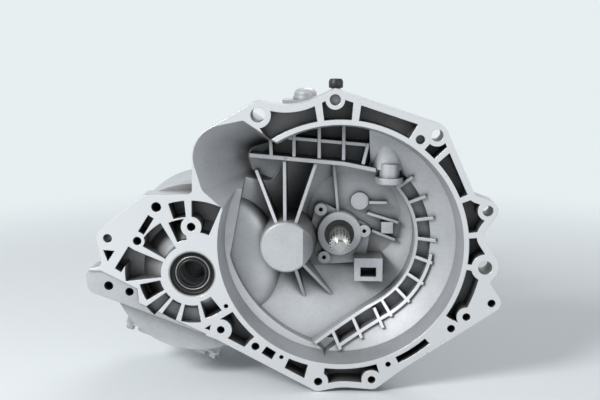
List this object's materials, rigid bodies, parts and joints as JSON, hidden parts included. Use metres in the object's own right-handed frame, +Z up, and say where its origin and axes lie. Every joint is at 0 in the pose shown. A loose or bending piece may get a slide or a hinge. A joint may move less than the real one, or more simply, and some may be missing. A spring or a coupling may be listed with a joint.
{
  "type": "gearbox housing with five-speed gear set",
  "caption": "Cast transaxle housing with clutch bell, differential bay, gear case, shafts, gears and shift forks.",
  "frame": {"origin": "input shaft axis at the machined engine face", "axes": "+Y along the input shaft away from the engine, +Z up, +X towards the side away from the axle"},
  "size_m": [0.505, 0.332, 0.372],
  "materials": {
    "cast_aluminium": "die-cast, sprayed silver",
    "pressed_steel": "pressed sheet, sprayed silver",
    "gear_steel": "ground and oiled",
    "cast_iron": "as cast",
    "bearing_steel": "ground",
    "black_rubber": "moulded"
  },
  "bodies": {
    "housing": {"gearbox_housing": "cast_aluminium", "gear_case": "cast_aluminium", "end_cover": "cast_aluminium", "differential_cover": "pressed_steel", "shift_turret": "cast_aluminium", "input_front_bearing": "bearing_steel", "input_rear_bearing": "bearing_steel", "output_front_bearing": "bearing_steel", "output_rear_bearing": "bearing_steel", "differential_front_bearing": "bearing_steel", "differential_rear_bearing": "bearing_steel", "input_shaft_seal": "black_rubber", "axle_seal": "black_rubber", "rear_axle_seal": "black_rubber", "shift_rail": "gear_steel", "reverse_idler_shaft": "gear_steel"},
    "input": {"input_shaft": "gear_steel", "fifth_drive_gear": "gear_steel"},
    "output": {"output_shaft": "gear_steel", "first_second_hub": "gear_steel", "third_fourth_hub": "gear_steel", "fifth_reverse_hub": "gear_steel"},
    "differential": {"differential_case": "cast_iron", "ring_gear": "gear_steel"},
    "first_gear": {"first_driven_gear": "gear_steel"},
    "second_gear": {"second_driven_gear": "gear_steel"},
    "third_gear": {"third_driven_gear": "gear_steel"},
    "fourth_gear": {"fourth_driven_gear": "gear_steel"},
    "fifth_gear": {"fifth_driven_gear": "gear_steel"},
    "reverse_idler": {"reverse_idler": "gear_steel"},
    "reverse_gear": {"reverse_driven_gear": "gear_steel"},
    "first_second_sleeve": {"first_second_sleeve": "gear_steel"},
    "first_second_fork": {"first_second_fork": "cast_iron"},
    "third_fourth_sleeve": {"third_fourth_sleeve": "gear_steel"},
    "third_fourth_fork": {"third_fourth_fork": "cast_iron"},
    "fifth_reverse_sleeve": {"fifth_reverse_sleeve": "gear_steel"},
    "fifth_reverse_fork": {"fifth_reverse_fork": "cast_iron"}
  },
  "joints": [
    {"name": "input_spin", "type": "hinge", "parent": "housing", "child": "input", "pos_m": [0, 0.1, 0], "axis": [0, 1, 0], "continuous": true},
    {"name": "differential_spin", "type": "hinge", "parent": "housing", "child": "differential", "pos_m": [-0.1794, 0.1, -0.0342], "axis": [0, 1, 0], "continuous": true},
    {"name": "output_spin", "type": "hinge", "parent": "housing", "child": "output", "pos_m": [-0.067, 0.1, -0.008], "axis": [0, 1, 0], "continuous": true},
    {"name": "first_gear_spin", "type": "hinge", "parent": "housing", "child": "first_gear", "pos_m": [-0.067, 0.1, -0.008], "axis": [0, 1, 0], "continuous": true},
    {"name": "second_gear_spin", "type": "hinge", "parent": "housing", "child": "second_gear", "pos_m": [-0.067, 0.1, -0.008], "axis": [0, 1, 0], "continuous": true},
    {"name": "third_gear_spin", "type": "hinge", "parent": "housing", "child": "third_gear", "pos_m": [-0.067, 0.1, -0.008], "axis": [0, 1, 0], "continuous": true},
    {"name": "fourth_gear_spin", "type": "hinge", "parent": "housing", "child": "fourth_gear", "pos_m": [-0.067, 0.1, -0.008], "axis": [0, 1, 0], "continuous": true},
    {"name": "fifth_gear_spin", "type": "hinge", "parent": "housing", "child": "fifth_gear", "pos_m": [-0.067, 0.1, -0.008], "axis": [0, 1, 0], "continuous": true},
    {"name": "reverse_idler_spin", "type": "hinge", "parent": "housing", "child": "reverse_idler", "pos_m": [-0.01845, 0.1, -0.03253], "axis": [0, 1, 0], "continuous": true},
    {"name": "reverse_gear_spin", "type": "hinge", "parent": "housing", "child": "reverse_gear", "pos_m": [-0.067, 0.1, -0.008], "axis": [0, 1, 0], "continuous": true},
    {"name": "first_second_fork_slide", "type": "slide", "parent": "housing", "child": "first_second_fork", "axis": [0, 1, 0], "range_m": [-0.0065, 0.0065]},
    {"name": "first_second_sleeve_slide", "type": "slide", "parent": "output", "child": "first_second_sleeve", "axis": [0, 1, 0], "range_m": [-0.0065, 0.0065]},
    {"name": "third_fourth_fork_slide", "type": "slide", "parent": "housing", "child": "third_fourth_fork", "axis": [0, 1, 0], "range_m": [-0.0065, 0.0065]},
    {"name": "third_fourth_sleeve_slide", "type": "slide", "parent": "output", "child": "third_fourth_sleeve", "axis": [0, 1, 0], "range_m": [-0.0065, 0.0065]},
    {"name": "fifth_reverse_fork_slide", "type": "slide", "parent": "housing", "child": "fifth_reverse_fork", "axis": [0, 1, 0], "range_m": [-0.0065, 0.0065]},
    {"name": "fifth_reverse_sleeve_slide", "type": "slide", "parent": "output", "child": "fifth_reverse_sleeve", "axis": [0, 1, 0], "range_m": [-0.0065, 0.0065]}
  ],
  "couplings": [
    {"joint": "output_spin", "follows": "differential_spin", "ratio": -4.1667},
    {"joint": "first_gear_spin", "follows": "input_spin", "ratio": -0.28571},
    {"joint": "second_gear_spin", "follows": "input_spin", "ratio": -0.52381},
    {"joint": "third_gear_spin", "follows": "input_spin", "ratio": -0.77778},
    {"joint": "fourth_gear_spin", "follows": "input_spin", "ratio": -1.1333},
    {"joint": "fifth_gear_spin", "follows": "input_spin", "ratio": -1.4615},
    {"joint": "reverse_idler_spin", "follows": "input_spin", "ratio": -0.83333},
    {"joint": "reverse_gear_spin", "follows": "input_spin", "ratio": 0.5},
    {"joint": "first_second_sleeve_slide", "follows": "first_second_fork_slide", "ratio": 1},
    {"joint": "third_fourth_sleeve_slide", "follows": "third_fourth_fork_slide", "ratio": 1},
    {"joint": "fifth_reverse_sleeve_slide", "follows": "fifth_reverse_fork_slide", "ratio": 1}
  ]
}
